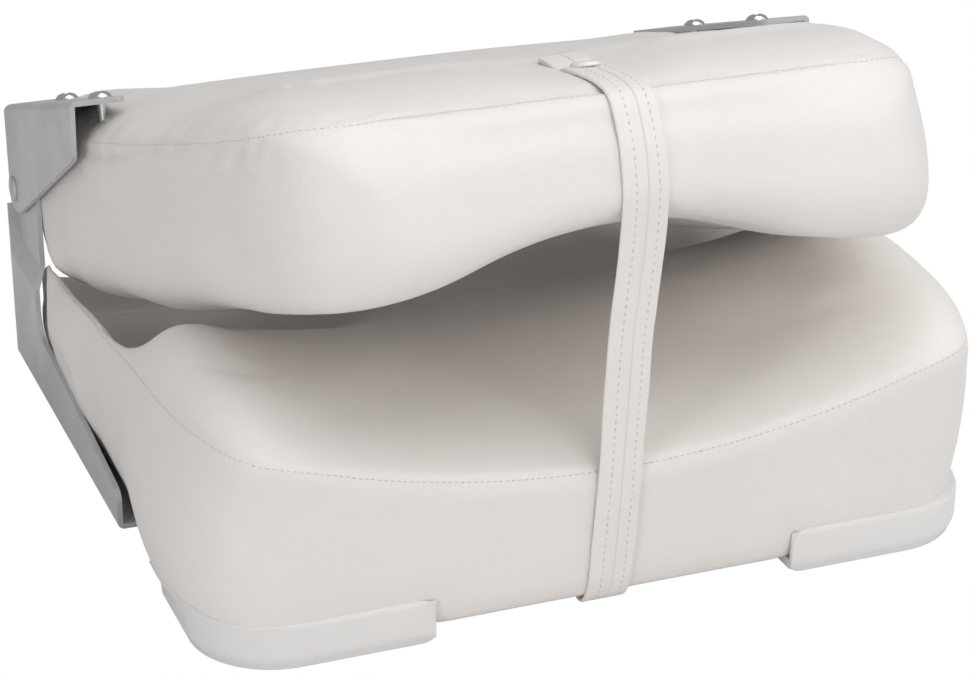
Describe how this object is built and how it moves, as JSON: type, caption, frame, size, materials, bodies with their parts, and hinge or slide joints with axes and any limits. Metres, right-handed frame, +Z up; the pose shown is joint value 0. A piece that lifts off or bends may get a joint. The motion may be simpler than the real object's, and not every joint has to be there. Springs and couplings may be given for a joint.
{
  "type": "folding swivel seat",
  "caption": "Padded folding swivel seat, its cushioned backrest folded face down over the seat pad on metal hinge arms, with a moulded base, a closing strap and a plate swivel.",
  "frame": {"origin": "middle of the mounting face under the lower swivel plate, on the swivel's axis", "axes": "+X to the right side of the seat, -Y to its front edge, +Y to the hinges, +Z up"},
  "size_m": [0.4402, 0.4427, 0.2914],
  "materials": {
    "cream_vinyl": "satin",
    "base_plastic": "satin",
    "hinge_metal": "satin",
    "bright_steel": "polished",
    "swivel_steel": "satin",
    "washer_nylon": "matte",
    "board_wood": "matte",
    "snap_enamel": "satin"
  },
  "bodies": {
    "swivel_base": {"swivel_lower_plate": "swivel_steel", "swivel_ball_cage": "swivel_steel", "swivel_center_rivet": "swivel_steel"},
    "seat": {"swivel_upper_plate": "swivel_steel", "swivel_screw_left_front": "bright_steel", "swivel_screw_left_rear": "bright_steel", "swivel_screw_right_front": "bright_steel", "swivel_screw_right_rear": "bright_steel", "seat_base": "base_plastic", "seat_cushion": "cream_vinyl", "hinge_arm_left": "hinge_metal", "hinge_arm_right": "hinge_metal", "arm_screw_left_front": "bright_steel", "arm_screw_left_rear": "bright_steel", "arm_screw_right_front": "bright_steel", "arm_screw_right_rear": "bright_steel", "pivot_rivet_left": "bright_steel", "pivot_rivet_right": "bright_steel", "pivot_washer_left": "washer_nylon", "pivot_washer_right": "washer_nylon", "strap_anchor_plate": "bright_steel", "anchor_screw_left": "bright_steel", "anchor_screw_right": "bright_steel"},
    "backrest": {"backrest_board": "board_wood", "backrest_cushion": "cream_vinyl", "upper_bracket_left": "hinge_metal", "upper_bracket_right": "hinge_metal", "bracket_screw_left_rear": "bright_steel", "bracket_screw_left_front": "bright_steel", "bracket_screw_right_rear": "bright_steel", "bracket_screw_right_front": "bright_steel", "snap_stud": "bright_steel"},
    "strap": {"strap": "cream_vinyl", "strap_snap_cap": "snap_enamel"}
  },
  "joints": [
    {"name": "seat_swivel", "type": "hinge", "parent": "swivel_base", "child": "seat", "pos_m": [0, 0, 0], "axis": [0, 0, 1], "continuous": true},
    {"name": "back_fold", "type": "hinge", "parent": "seat", "child": "backrest", "pos_m": [0, 0.194, 0.121], "axis": [-1, 0, 0], "range_deg": [0, 92]},
    {"name": "strap_swing", "type": "hinge", "parent": "seat", "child": "strap", "pos_m": [0, -0.203, 0.0076], "axis": [1, 0, 0], "range_deg": [0, 82], "deforming": ["strap", "strap_snap_cap"]}
  ],
  "couplings": [
    {"joint": "strap_swing", "follows": "back_fold", "ratio": 0.89}
  ]
}
